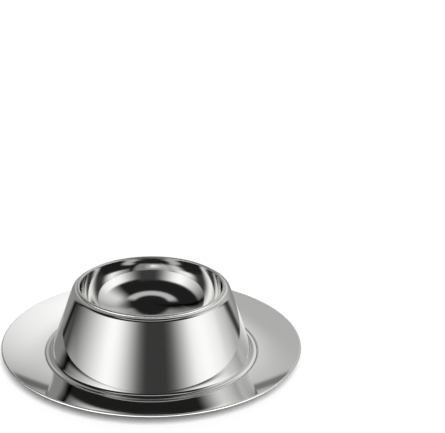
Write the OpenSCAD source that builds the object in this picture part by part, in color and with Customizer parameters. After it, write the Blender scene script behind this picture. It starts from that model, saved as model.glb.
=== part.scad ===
// Egg cup with a fixed saucer, pressed and spun from polished steel sheet, in millimetres.
// Origin at the middle of the saucer's resting face, +Z up.
// The cup is three pressings: the saucer, the outer wall that stands on it with a flared foot, and
// the egg bowl that hangs in the wall.
// Every outline is the face of one bent sheet: a list of bends, with straight sheet between them.

/* [Saucer] */
// Diameter of the saucer over its lip
saucer_d = 90; // [84:0.5:100]
// Thickness of the saucer's sheet
saucer_sheet = 0.6; // [0.5:0.05:0.7]
// Gap from the cup's rim out to the ring where the flange starts to rise
ring_gap = 10.35; // [9.5:0.05:11]
// Height of that ring above the floor of the well
ring_rise = 1.95; // [1.6:0.01:2.5]
// Depth of the seat inside the ring, in which the cup's foot lies
seat_depth = 0.5; // [0.46:0.01:0.6]
// Width of the flat of that seat
seat_w = 0.8; // [0.6:0.05:1.2]
// Slope of the short step from the seat up to the ring, in degrees
step_slope = 60; // [45:1:60]
// Radius of the hollow corner between the seat and that step
seat_corner_r = 0.2; // [0.1:0.02:0.2]
// Radius inside the sharp bends under the ring and under the seat's inner edge
ring_bend_r = 0.1; // [0.05:0.01:0.1]
// Slope of the riser from the well's floor up to the seat, in degrees
riser_slope = 45; // [35:1:55]
// Radius of the cove between the well's floor and the riser
cove_r = 1.2; // [0.8:0.1:1.5]
// Slope of the flange where it leaves the ring, in degrees
flange_slope_in = 8; // [6:0.5:14]
// Slope of the flange at the lip, in degrees
flange_slope_out = 17.5; // [16:0.5:26]

/* [Cup wall] */
// Thickness of the wall's sheet
wall_sheet = 0.45; // [0.4:0.01:0.5]
// Radius of the long, slightly bulging side, from the flare of the foot up to the shoulder
side_curve_r = 400; // [200:20:1200]
// Radius of the shoulder under the rim
shoulder_r = 1.5; // [1.1:0.1:2.2]
// Radius of the hollow flare with which the wall runs out to its foot
flare_r = 1.6; // [1.4:0.1:2.2]
// Width of the flat edge of the flared foot, which lies on the seat
foot_land = 0.3; // [0.15:0.05:0.6]
// Room between the foot's edge and the step around it
foot_gap = 0.1; // [0.08:0.01:0.2]

/* [Rim] */
// Height of the cup from the table to the top of its rim
cup_h = 23.35; // [22.5:0.05:25]
// Diameter of the rim over its bead
rim_d = 44.3; // [43.5:0.1:45]
// Height of the bead above the shoulder
bead_rise = 0.58; // [0.56:0.01:0.8]
// Radius of the groove where the shoulder turns up into the bead
groove_r = 0.1; // [0.05:0.01:0.12]
// Gap between the wall's edge and the bowl's edge, closed by the weld along the rim
seam_gap = 0.02; // [0.01:0.01:0.04]

/* [Egg bowl] */
// Thickness of the bowl's sheet
bowl_sheet = 0.45; // [0.4:0.01:0.5]
// Depth of the bowl from the top of the rim
bowl_depth = 17; // [16.5:0.1:18.5]
// Depth of the upright land under the rim
bowl_land = 0.8; // [0.55:0.05:1.2]
// Radius of the bowl's side, between the land and the bottom
bowl_side_r = 14; // [12:0.5:14.5]

/* [Hidden] */
$fn = 144;
bend_steps = 12;

floor_z = saucer_sheet;
saucer_r = saucer_d / 2;
rim_r = rim_d / 2;
ring_r = rim_r + ring_gap;

// Direction at an angle from the horizontal, as [outwards, up]
function along(angle) = [cos(angle), sin(angle)];

// One bend of a sheet: its centre, the radius of its face and the directions in which its face
// looks at either end. The radius is negative where the face is the hollow side of the bend.
function bend(centre, radius, from, to) = [centre, radius, from, to];

// A point of the face with straight sheet before and after it
function end_point(place, facing) = bend(place, 0, facing, facing);

function arc(centre, radius, from, to) =
    let (steps = from == to ? 0 : bend_steps)
    [for (i = [0 : steps]) centre + radius * along(from + (to - from) * i / max(steps, 1))];

function face(bends) = [for (b = bends) each arc(b[0], b[1], b[2], b[3])];

function back(bends, sheet) = [for (b = bends) each arc(b[0], b[1] - sheet, b[2], b[3])];

function reversed(points) = [for (i = [len(points) - 1 : -1 : 0]) points[i]];

// A sheet turned about the cup's axis, with the outlines of its far edge and of its near one
module turned_sheet(bends, sheet, edge, near_edge = []) {
    rotate_extrude()
        polygon(concat(face(bends), edge, reversed(back(bends, sheet)), near_edge));
}

// Saucer: the cove and the riser up to the seat, the short step up to the ring, and the flange's
// curve from the ring out to the lip
ring_face_r = ring_bend_r + saucer_sheet;
ring_facing = 90 + flange_slope_in;
step_facing = 90 + step_slope;
riser_facing = 90 + riser_slope;
lip_facing = 90 + flange_slope_out;
ring_top = [ring_r, floor_z + ring_rise];
ring_centre = ring_top - ring_face_r * along(ring_facing);
step_top = ring_centre + ring_face_r * along(step_facing);
seat_z = ring_top[1] - seat_depth;
step_foot_z = seat_z + seat_corner_r * (1 - sin(step_facing));
step_foot_r = step_top[0] - (step_top[1] - step_foot_z) / tan(step_slope);
seat_corner = [step_foot_r + seat_corner_r * cos(step_facing), seat_z + seat_corner_r];
seat_edge = [seat_corner[0] - seat_w, seat_z - ring_face_r];
riser_top = seat_edge + ring_face_r * along(riser_facing);
riser_foot_z = floor_z + cove_r * (1 - sin(riser_facing));
riser_foot_r = riser_top[0] - (riser_top[1] - riser_foot_z) / tan(riser_slope);
cove_centre = [riser_foot_r + cove_r * cos(riser_facing), floor_z + cove_r];
lip_end_r = saucer_r - saucer_sheet / 2 * (1 - cos(lip_facing));
flange_curve_r = (lip_end_r - ring_r) / (sin(flange_slope_out) - sin(flange_slope_in));
flange_centre = ring_top + flange_curve_r * along(ring_facing);

saucer_bends = [
    end_point([0, floor_z], 90),
    bend(cove_centre, -cove_r, 90, riser_facing),
    bend(seat_edge, ring_face_r, riser_facing, 90),
    bend(seat_corner, -seat_corner_r, 90, step_facing),
    bend(ring_centre, ring_face_r, step_facing, ring_facing),
    bend(flange_centre, -flange_curve_r, ring_facing, lip_facing)
];

// Cup wall: the long side curve touches the hollow flare of the foot below it from outside, and the
// shoulder above it from inside
foot_top_z = seat_z + wall_sheet;
foot_end_r = seat_corner[0] - foot_gap;
flare_centre = [foot_end_r - foot_land, foot_top_z + flare_r];
shoulder_centre = [rim_r + groove_r, cup_h - bead_rise - shoulder_r];
flare_reach = side_curve_r + flare_r;
shoulder_reach = side_curve_r - shoulder_r;
centres_gap = norm(shoulder_centre - flare_centre);
towards_shoulder = (shoulder_centre - flare_centre) / centres_gap;
side_along = (pow(flare_reach, 2) - pow(shoulder_reach, 2) + pow(centres_gap, 2)) / (2 * centres_gap);
side_across = sqrt(pow(flare_reach, 2) - pow(side_along, 2));
side_centre = flare_centre + side_along * towards_shoulder
    + side_across * [-towards_shoulder[1], towards_shoulder[0]];
flare_facing = atan2(flare_centre[1] - side_centre[1], flare_centre[0] - side_centre[0]);
shoulder_facing = atan2(shoulder_centre[1] - side_centre[1], shoulder_centre[0] - side_centre[0]);
groove_centre = [rim_r + groove_r, cup_h - bead_rise + groove_r];
wall_edge_r = rim_r - wall_sheet;

wall_bends = [
    end_point([foot_end_r, foot_top_z], 90),
    bend(flare_centre, -flare_r, 90, flare_facing),
    bend(side_centre, side_curve_r, flare_facing, shoulder_facing),
    bend(shoulder_centre, shoulder_r, shoulder_facing, 90),
    bend(groove_centre, -groove_r, 90, 0)
];

// Egg bowl: the bottom's curve touches the side's, and both are hollow towards the egg
bowl_edge_r = wall_edge_r - seam_gap;
mouth_r = bowl_edge_r - bowl_sheet;
bowl_side_centre = [mouth_r - bowl_side_r, cup_h - bowl_land];
side_drop = bowl_depth - bowl_land;
bottom_curve_r = (pow(bowl_side_centre[0], 2) + pow(side_drop, 2) - pow(bowl_side_r, 2))
    / (2 * (side_drop - bowl_side_r));
bottom_centre = [0, cup_h - bowl_depth + bottom_curve_r];
bottom_facing = atan2(bottom_centre[1] - bowl_side_centre[1], -bowl_side_centre[0]);

bowl_bends = [
    bend(bottom_centre, -bottom_curve_r, 90, bottom_facing),
    bend(bowl_side_centre, -bowl_side_r, bottom_facing, 180)
];

// Pressed saucer: flat well, riser, seat for the cup, ring, rising flange and a rounded lip
module saucer() {
    lip_face_end = flange_centre - flange_curve_r * along(lip_facing);
    lip_centre = lip_face_end - saucer_sheet / 2 * along(lip_facing);
    color("silver")
        turned_sheet(saucer_bends, saucer_sheet,
            arc(lip_centre, saucer_sheet / 2, lip_facing, lip_facing - 180));
}

// Spun outer wall: flared foot, leaning side, shoulder and the outer half of the rim's bead
module cup_wall() {
    color("lightgray")
        turned_sheet(wall_bends, wall_sheet,
            arc([wall_edge_r, cup_h - wall_sheet], wall_sheet, 0, 90),
            arc([foot_end_r, seat_z + wall_sheet / 2], wall_sheet / 2, -90, 90));
}

// Drawn bowl that holds the egg, with the inner half of the rim's bead
module egg_bowl() {
    color("gainsboro")
        turned_sheet(bowl_bends, bowl_sheet,
            arc([bowl_edge_r, cup_h - bowl_sheet], bowl_sheet, 180, 90));
}

saucer();
cup_wall();
egg_bowl();
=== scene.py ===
"""Egg cup with a fixed saucer: three pressings of polished steel sheet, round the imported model.

Metres, with the origin at the middle of the saucer's resting face and +Z up. The outlines of the
sheets are worked out in millimetres.
"""

import math

import bpy
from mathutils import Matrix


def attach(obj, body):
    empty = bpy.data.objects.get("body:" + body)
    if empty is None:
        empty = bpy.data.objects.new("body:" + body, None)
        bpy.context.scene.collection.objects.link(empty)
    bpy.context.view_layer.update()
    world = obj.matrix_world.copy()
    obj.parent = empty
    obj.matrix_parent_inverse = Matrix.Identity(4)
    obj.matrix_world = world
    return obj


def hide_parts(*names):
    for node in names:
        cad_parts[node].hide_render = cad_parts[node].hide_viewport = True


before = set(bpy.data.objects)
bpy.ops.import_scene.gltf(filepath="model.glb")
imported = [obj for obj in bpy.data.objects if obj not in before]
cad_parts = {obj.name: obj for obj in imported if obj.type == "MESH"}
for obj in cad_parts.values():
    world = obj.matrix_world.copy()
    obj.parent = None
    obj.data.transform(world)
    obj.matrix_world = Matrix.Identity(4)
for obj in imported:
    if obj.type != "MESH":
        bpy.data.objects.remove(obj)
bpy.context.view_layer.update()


# Saucer: one round pressing of 0.6 mm stainless sheet, polished bright on both faces.
# The press leaves a flat well, a riser up to a seat for the cup, a tight ring round that seat where
# the flange starts to rise, and a trimmed lip that the polishing wheel rounds.
MM = 0.001
ROUND_STEPS = 192
SAME_POINT = 0.0015 * MM
SMOOTH_UP_TO = math.radians(40)

SAUCER_SHEET = 0.6
RING_R, RING_Z = 32.5, 2.55
SEAT_DEPTH, SEAT_W, SEAT_CORNER_R = 0.5, 0.8, 0.2
RISER_SLOPE, STEP_SLOPE, SLOPE_AT_RING, SLOPE_AT_LIP = 45, 60, 8, 17.5
COVE_R, RING_BEND_R = 1.2, 0.1
SAUCER_R = 45


def along(angle):
    """The direction at an angle in degrees from the horizontal, as (outwards, up)."""
    return math.cos(math.radians(angle)), math.sin(math.radians(angle))


def off(point, distance, angle):
    """The point at a distance from another, in the direction of an angle."""
    right, up = along(angle)
    return point[0] + distance * right, point[1] + distance * up


def select_none():
    bpy.ops.object.select_all(action="DESELECT")


def start_outline(name):
    """A new mesh in edit mode, whose one vertex lies at the origin."""
    select_none()
    bpy.ops.mesh.primitive_plane_add(size=MM)
    piece = bpy.context.object
    piece.name = piece.data.name = name
    bpy.ops.object.mode_set(mode="EDIT")
    bpy.ops.mesh.merge(type="CENTER")
    return piece


def trace(bends):
    """Draws a sheet's outline in edit mode, from bends and the straight sheet between them.

    A bend is its centre, its radius and the two directions from the centre to its ends, in
    millimetres and degrees. The radius is negative on the hollow side, and the last number is how
    many edges the bend gets.
    """
    pen = None
    for centre, radius, start, end, steps in bends:
        first = off(centre, radius, start)
        if pen is None:
            bpy.ops.transform.translate(value=(first[0] * MM, 0, first[1] * MM))
        elif math.dist(pen, first) > SAME_POINT / MM:
            bpy.ops.mesh.extrude_vertices_move(
                TRANSFORM_OT_translate={
                    "value": ((first[0] - pen[0]) * MM, 0, (first[1] - pen[1]) * MM)
                }
            )
        pen = first
        if steps:
            bpy.ops.mesh.spin(
                steps=steps,
                angle=math.radians(end - start),
                center=(centre[0] * MM, 0, centre[1] * MM),
                axis=(0, 1, 0),
            )
            pen = off(centre, radius, end)


def backwards(bends, sheet):
    """The other face of a sheet, drawn the other way: each bend keeps its centre."""
    return [
        (centre, radius - sheet, end, start, steps)
        for centre, radius, start, end, steps in reversed(bends)
    ]


def turn_round(piece):
    """Turns the drawn outline about the cup's axis to a closed shell with smooth faces."""
    bpy.ops.mesh.select_all(action="SELECT")
    bpy.ops.mesh.remove_doubles(threshold=SAME_POINT)
    bpy.ops.mesh.spin(steps=ROUND_STEPS, angle=math.tau, center=(0, 0, 0), axis=(0, 0, 1))
    bpy.ops.mesh.select_all(action="SELECT")
    bpy.ops.mesh.remove_doubles(threshold=SAME_POINT)
    bpy.ops.mesh.normals_make_consistent(inside=False)
    bpy.ops.object.mode_set(mode="OBJECT")
    bpy.ops.object.shade_smooth_by_angle(angle=SMOOTH_UP_TO)
    even = piece.modifiers.new("even_polish", "WEIGHTED_NORMAL")
    even.keep_sharp = True
    bpy.ops.object.modifier_apply(modifier=even.name)


def hollow_corner(top, slope, flat_z, radius):
    """The centre of the hollow bend that a slope runs down into, from its top to a flat."""
    right, up = along(90 + slope)
    low_z = flat_z + radius * (1 - up)
    low_r = top[0] - (top[1] - low_z) / math.tan(math.radians(slope))
    return low_r + radius * right, flat_z + radius


ring_face_r = RING_BEND_R + SAUCER_SHEET
ring_centre = off((RING_R, RING_Z), ring_face_r, 270 + SLOPE_AT_RING)
step_top = off(ring_centre, ring_face_r, 90 + STEP_SLOPE)
seat_z = RING_Z - SEAT_DEPTH
seat_corner = hollow_corner(step_top, STEP_SLOPE, seat_z, SEAT_CORNER_R)
seat_edge = (seat_corner[0] - SEAT_W, seat_z - ring_face_r)
riser_top = off(seat_edge, ring_face_r, 90 + RISER_SLOPE)
cove_centre = hollow_corner(riser_top, RISER_SLOPE, SAUCER_SHEET, COVE_R)
lip_end_r = SAUCER_R - SAUCER_SHEET / 2 * (1 - along(90 + SLOPE_AT_LIP)[0])
flange_r = (lip_end_r - RING_R) / (along(90 - SLOPE_AT_LIP)[0] - along(90 - SLOPE_AT_RING)[0])
flange_centre = off((RING_R, RING_Z), flange_r, 90 + SLOPE_AT_RING)
flange_end = off(flange_centre, -flange_r, 90 + SLOPE_AT_LIP)
lip_centre = off(flange_end, SAUCER_SHEET / 2, 270 + SLOPE_AT_LIP)

saucer_face = [
    ((0, SAUCER_SHEET), 0, 90, 90, 0),
    (cove_centre, -COVE_R, 90, 90 + RISER_SLOPE, 14),
    (seat_edge, ring_face_r, 90 + RISER_SLOPE, 90, 12),
    (seat_corner, -SEAT_CORNER_R, 90, 90 + STEP_SLOPE, 10),
    (ring_centre, ring_face_r, 90 + STEP_SLOPE, 90 + SLOPE_AT_RING, 14),
    (flange_centre, -flange_r, 90 + SLOPE_AT_RING, 90 + SLOPE_AT_LIP, 24),
]
saucer_lip = [(lip_centre, SAUCER_SHEET / 2, 90 + SLOPE_AT_LIP, SLOPE_AT_LIP - 90, 16)]

saucer = start_outline("saucer_pressing")
trace(saucer_face + saucer_lip + backwards(saucer_face, SAUCER_SHEET))
turn_round(saucer)


class Socket:
    """The output of a shader node. Arithmetic on one that carries a number adds Math nodes."""

    def __init__(self, nodes, output):
        self.nodes, self.output = nodes, output

    def math(self, operation, *values):
        inputs = dict(enumerate(values))
        return self.nodes.add("ShaderNodeMath", {"operation": operation}, inputs)["Value"]

    def __add__(self, other):
        return self.math("ADD", self, other)

    def __radd__(self, other):
        return self.math("ADD", other, self)

    def __sub__(self, other):
        return self.math("SUBTRACT", self, other)

    def __rsub__(self, other):
        return self.math("SUBTRACT", other, self)

    def __mul__(self, other):
        return self.math("MULTIPLY", self, other)

    def __rmul__(self, other):
        return self.math("MULTIPLY", other, self)

    def __neg__(self):
        return self.math("MULTIPLY", self, -1.0)

    def __abs__(self):
        return self.math("ABSOLUTE", self)

    def fade(self, start, end):
        """0 up to start and 1 past end, with a soft change between them. End may be the lower."""
        soft = {"interpolation_type": "SMOOTHSTEP"}
        sockets = {"Value": self, "From Min": start, "From Max": end}
        return self.nodes.add("ShaderNodeMapRange", soft, sockets)["Result"]


class Nodes:
    """The shader nodes of one finish, or of the studio."""

    def __init__(self, tree):
        self.tree = tree
        tree.nodes.clear()

    def add(self, kind, settings=None, sockets=None):
        """A new node, its settings set first, then the values or links of its sockets."""
        node = self.tree.nodes.new(kind)
        for name, setting in (settings or {}).items():
            setattr(node, name, setting)
        for name, value in (sockets or {}).items():
            if isinstance(value, Socket):
                self.tree.links.new(value.output, node.inputs[name])
            else:
                node.inputs[name].default_value = value
        return {output.name: Socket(self, output) for output in node.outputs if output.enabled}

    def noise(self, where, scale, detail, roughness=0.5, dimensions="3D"):
        """Soft noise of so many patches to the metre, about 0.5 in the mean."""
        settings = {"noise_dimensions": dimensions}
        sockets = {"Vector": where, "Scale": scale, "Detail": detail, "Roughness": roughness}
        return self.add("ShaderNodeTexNoise", settings, sockets)["Fac"]


STEEL_TINT = (0.88, 0.88, 0.865)
TRIMMED_LIP_R = (44.6 * MM, 44.8 * MM)
TRIMMED_RIM_Z = (22.8 * MM, 22.95 * MM)
TRIMMED_ROUGHNESS = 0.3


def polished_steel(name, roughness, wheel_marks):
    """Bright steel sheet, with the faint rings that the polishing wheel leaves on a turning piece.

    The wheel's marks are given in metres, and the lip and the rim are duller, where the sheet was
    trimmed.
    """
    material = bpy.data.materials.new(name)
    material.use_nodes = True
    nodes = Nodes(material.node_tree)
    place = nodes.add("ShaderNodeTexCoord")["Object"]
    spot = nodes.add("ShaderNodeSeparateXYZ", None, {"Vector": place})
    square = spot["X"] * spot["X"] + spot["Y"] * spot["Y"]
    radius = square.math("SQRT", square)
    across = nodes.add("ShaderNodeCombineXYZ", None, {"X": radius, "Y": spot["Z"]})["Vector"]
    rings = nodes.noise(across, scale=2600.0, detail=2.0, dimensions="2D")
    cloudy = nodes.noise(place, scale=70.0, detail=3.0, roughness=0.55)
    mottle = nodes.noise(place, scale=420.0, detail=2.0)
    shade = 0.985 + 0.03 * cloudy
    tint = {0: STEEL_TINT, "Scale": shade}
    colour = nodes.add("ShaderNodeVectorMath", {"operation": "SCALE"}, tint)["Vector"]
    trimmed_edge = radius.fade(*TRIMMED_LIP_R) + spot["Z"].fade(*TRIMMED_RIM_Z)
    rough = roughness * (0.7 + 0.5 * cloudy + 0.3 * rings) + TRIMMED_ROUGHNESS * trimmed_edge
    relief = rings * wheel_marks + mottle * (wheel_marks * 2)
    marks = {"Height": relief, "Strength": 1.0, "Distance": 1.0}
    bump = nodes.add("ShaderNodeBump", None, marks)["Normal"]
    looks = {"Base Color": colour, "Metallic": 1.0, "Roughness": rough, "Normal": bump}
    shader = nodes.add("ShaderNodeBsdfPrincipled", None, looks)["BSDF"]
    nodes.add("ShaderNodeOutputMaterial", {"target": "ALL"}, {"Surface": shader})
    return material


saucer.data.materials.append(polished_steel("saucer_steel_polished", 0.05, 2e-8))
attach(saucer, "root")
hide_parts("saucer")


# Cup wall: one sheet of 0.45 mm stainless, spun over a former and polished outside.
# Its flared foot lies in the saucer's seat, where it is welded. Its side leans in, bulging a
# little, to a small shoulder, and its edge stands up as the outer half of the rim's bead.
WALL_SHEET = 0.45
RIM_R, CUP_H = 22.15, 23.35
SIDE_R, SHOULDER_R, GROOVE_R = 400, 1.5, 0.1
FLARE_R, FOOT_LAND, FOOT_GAP = 1.6, 0.3, 0.1
BEAD_H = 0.58


def facing(centre, other):
    """The direction from one point to another, in degrees from the horizontal."""
    return math.degrees(math.atan2(other[1] - centre[1], other[0] - centre[0]))


foot_top_z = seat_z + WALL_SHEET
foot_end_r = seat_corner[0] - FOOT_GAP
flare_centre = (foot_end_r - FOOT_LAND, foot_top_z + FLARE_R)
shoulder_centre = (RIM_R + GROOVE_R, CUP_H - BEAD_H - SHOULDER_R)
groove_centre = (RIM_R + GROOVE_R, CUP_H - BEAD_H + GROOVE_R)
flare_reach, shoulder_reach = SIDE_R + FLARE_R, SIDE_R - SHOULDER_R
gap, up_wall = math.dist(flare_centre, shoulder_centre), facing(flare_centre, shoulder_centre)
side_along = (flare_reach**2 - shoulder_reach**2 + gap**2) / (2 * gap)
side_across = math.sqrt(flare_reach**2 - side_along**2)
side_centre = off(off(flare_centre, side_along, up_wall), side_across, up_wall + 90)
side_low, side_top = facing(side_centre, flare_centre), facing(side_centre, shoulder_centre)

wall_face = [
    ((foot_end_r, foot_top_z), 0, 90, 90, 0),
    (flare_centre, -FLARE_R, 90, side_low, 48),
    (side_centre, SIDE_R, side_low, side_top, 40),
    (shoulder_centre, SHOULDER_R, side_top, 90, 24),
    (groove_centre, -GROOVE_R, 90, 0, 8),
]
foot_edge = [((foot_end_r, seat_z + WALL_SHEET / 2), WALL_SHEET / 2, -90, 90, 12)]
wall_edge = [((RIM_R - WALL_SHEET, CUP_H - WALL_SHEET), WALL_SHEET, 0, 90, 12)]

wall = start_outline("cup_wall_spinning")
trace(wall_face + wall_edge + backwards(wall_face, WALL_SHEET) + foot_edge)
turn_round(wall)
wall.data.materials.append(polished_steel("wall_steel_polished", 0.035, 1.5e-8))
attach(wall, "root")
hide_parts("cup_wall")


# Egg bowl: one drawn sheet of 0.45 mm stainless, deep and round-bottomed, polished on its hollow
# side. It hangs in the wall, and its edge is the inner half of the rim's bead: the two edges are
# welded back to back and polished down to one round rim.
BOWL_SHEET, BOWL_DEPTH, BOWL_LAND, BOWL_SIDE_R = 0.45, 17, 0.8, 14
SEAM_GAP = 0.02

bowl_edge_r = RIM_R - WALL_SHEET - SEAM_GAP
mouth_r = bowl_edge_r - BOWL_SHEET
side_drop = BOWL_DEPTH - BOWL_LAND
bowl_side_centre = (mouth_r - BOWL_SIDE_R, CUP_H - BOWL_LAND)
bottom_chord = bowl_side_centre[0] ** 2 + side_drop**2 - BOWL_SIDE_R**2
bottom_r = bottom_chord / (2 * (side_drop - BOWL_SIDE_R))
bottom_centre = (0, CUP_H - BOWL_DEPTH + bottom_r)
bottom_turn = facing(bowl_side_centre, bottom_centre)

bowl_face = [
    (bottom_centre, -bottom_r, 90, bottom_turn, 20),
    (bowl_side_centre, -BOWL_SIDE_R, bottom_turn, 180, 40),
]
bowl_edge = [((bowl_edge_r, CUP_H - BOWL_SHEET), BOWL_SHEET, 180, 90, 12)]

bowl = start_outline("egg_bowl_drawing")
trace(bowl_face + bowl_edge + backwards(bowl_face, BOWL_SHEET))
turn_round(bowl)
bowl.data.materials.append(polished_steel("bowl_steel_polished", 0.06, 2e-8))
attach(bowl, "root")
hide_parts("egg_bowl")


# Table top: a plain white round board that the cup stands on. It takes the cup's shadow, and it
# doesn't show in the steel, where the studio's glare stands for it.
TABLE_R, TABLE_SINK, TABLE_WHITE = 0.1, 0.02 * MM, 0.95

select_none()
bpy.ops.mesh.primitive_circle_add(
    vertices=96, radius=TABLE_R, fill_type="NGON", location=(0, 0, 0)
)
table_top = bpy.context.object
table_top.name = "table_top"
bpy.ops.object.mode_set(mode="EDIT")
bpy.ops.mesh.select_all(action="SELECT")
bpy.ops.transform.translate(value=(0, 0, -TABLE_SINK))
bpy.ops.object.mode_set(mode="OBJECT")
white = bpy.data.materials.new("table_white")
white.use_nodes = True
nodes = Nodes(white.node_tree)
colour = {"Color": (TABLE_WHITE, TABLE_WHITE, TABLE_WHITE, 1)}
paint = nodes.add("ShaderNodeBsdfDiffuse", None, colour)["BSDF"]
gone = nodes.add("ShaderNodeBsdfTransparent")["BSDF"]
mirrored = nodes.add("ShaderNodeLightPath")["Is Glossy Ray"]
cover = nodes.add("ShaderNodeMixShader", None, {0: mirrored, 1: paint, 2: gone})["Shader"]
nodes.add("ShaderNodeOutputMaterial", None, {"Surface": cover})
table_top.data.materials.append(white)


# Studio: two soft white panels in front, with a dark slot for the camera between them, one at the
# side, dimmer ones behind and a thin strip near the top. Two black flags and a band low at the back
# draw the dark lines in the steel. The camera itself sees a plain white room.
UNLIT = 0.014
TABLE_LIGHT = 0.2
FLAG_BEND = 4.0

world = bpy.data.worlds.new("light_tent")
bpy.context.scene.world = world
world.use_nodes = True
nodes = Nodes(world.node_tree)
gaze = nodes.add("ShaderNodeTexCoord")["Generated"]
way = nodes.add("ShaderNodeSeparateXYZ", None, {"Vector": gaze})
height = way["Z"].math("ARCSINE", way["Z"]) * math.degrees(1)
turn = way["X"].math("ARCTAN2", way["X"], -way["Y"]) * math.degrees(1)


def aside(azimuth):
    """Degrees to the right of an azimuth, from -180 to 180. Azimuth 0 is the front."""
    return turn.math("WRAP", turn - azimuth, 180.0, -180.0)


def panel(left, right, top, level):
    """A soft white panel between two azimuths, from below the table up to the height of its top.

    Left, right and top are each a place and the half width of the soft edge there, in degrees.
    """
    (left_side, left_soft), (right_side, right_soft), (top_edge, top_soft) = left, right, top
    across, half = aside((left_side + right_side) / 2), (right_side - left_side) / 2
    from_left = across.fade(-half - left_soft, left_soft - half)
    from_right = across.fade(half + right_soft, half - right_soft)
    under_top = height.fade(top_edge + top_soft, top_edge - top_soft)
    return level * (from_left * from_right) * under_top


def flag(azimuth, half_width, soft, lean=0, share=1.0):
    """The share of the panels' light that a black flag before them takes, and 0 beside the flag.

    It crosses the horizon at its azimuth. Up to its bend it leans to the right, by so many degrees
    for each degree of height, and above the bend it stands upright.
    """
    low = height.math("MINIMUM", height, FLAG_BEND)
    across = abs(aside(azimuth + lean * low))
    return share * across.fade(half_width + soft, half_width - soft)


left_panel = panel(left=(-75, 55), right=(-31, 27), top=(30, 3), level=1.4)
right_panel = panel(left=(45, 30), right=(75, 28), top=(27, 3), level=1.4)
side_panel = panel(left=(76, 19), right=(123, 35), top=(58, 12), level=0.75)
back_wall = panel(left=(125, 6), right=(234, 9), top=(68, 4), level=0.26)
back_panel = panel(left=(155, 30), right=(181, 7), top=(55, 5), level=0.95) * height.fade(-5, 50)
back_corner = panel(left=(180, 3), right=(198, 5), top=(57, 9), level=0.2)
camera_slot = panel(left=(-12, 5), right=(23, 5), top=(32, 4), level=0.03)
table_glare = panel(left=(-100, 20), right=(90, 20), top=(-8, 5), level=1.6)
top_strip = panel(left=(-90, 15), right=(80, 15), top=(71, 3), level=0.5) * height.fade(57, 63)
lit = UNLIT + left_panel + right_panel + side_panel + back_wall + back_panel + back_corner
lit = lit + camera_slot + table_glare + top_strip

left_flag = flag(azimuth=-119, half_width=3.5, soft=4, lean=1.1)
right_flag = flag(azimuth=116, half_width=4, soft=3, lean=-1.5, share=0.9) * height.fade(12, 4)
low_band = flag(azimuth=178, half_width=22, soft=8, share=0.65)
low_band = low_band * height.fade(14, 11) * height.fade(5, 9)
tent = lit * (1 - left_flag) * (1 - right_flag) * (1 - low_band)

path = nodes.add("ShaderNodeLightPath")
seen = path["Is Camera Ray"]
off_table = path["Diffuse Depth"].math("MINIMUM", path["Diffuse Depth"], 1.0)
level = tent * (1 - off_table) + TABLE_LIGHT * off_table
level = level * (1 - seen) + seen
grey = {"Red": level, "Green": level, "Blue": level}
glow = nodes.add("ShaderNodeCombineColor", None, grey)["Color"]
backdrop = nodes.add("ShaderNodeBackground", None, {"Color": glow, "Strength": 1.0})["Background"]
nodes.add("ShaderNodeOutputWorld", None, {"Surface": backdrop})


# Front lamp: a wide, soft lamp in front of the cup, above and a little to the right. It only gives
# the shadow on the table and isn't mirrored in the steel.
LAMP_PLACE = (0, -0.2, 0.2)
LAMP_HEIGHT, LAMP_TURN, LAMP_WIDTH = 40, 5, 26
LAMP_ENERGY = 4.4

select_none()
bpy.ops.object.light_add(
    type="SUN",
    location=LAMP_PLACE,
    rotation=(math.radians(90 - LAMP_HEIGHT), 0, math.radians(LAMP_TURN)),
)
lamp = bpy.context.object
lamp.name = "front_lamp"
lamp.data.energy = LAMP_ENERGY
lamp.data.angle = math.radians(LAMP_WIDTH)
lamp.visible_glossy = False


# Camera: in front of the cup and above it, looking down a little. The lens is shifted, because the
# cup stands low and to the left in the frame.
CAMERA_PLACE = (2.2 * MM, -301.2 * MM, 155.5 * MM)
CAMERA_DOWN = 18.65
LENS, SENSOR_WIDTH = 89.06, 36
LENS_SHIFT = (0.1436, -0.0665)

select_none()
bpy.ops.object.camera_add(location=CAMERA_PLACE, rotation=(math.radians(90 - CAMERA_DOWN), 0, 0))
camera = bpy.context.object
camera.data.sensor_width = SENSOR_WIDTH
camera.data.lens = LENS
camera.data.shift_x, camera.data.shift_y = LENS_SHIFT
camera.data.clip_start = 0.01
bpy.context.scene.camera = camera
bpy.context.scene.view_settings.view_transform = "Standard"
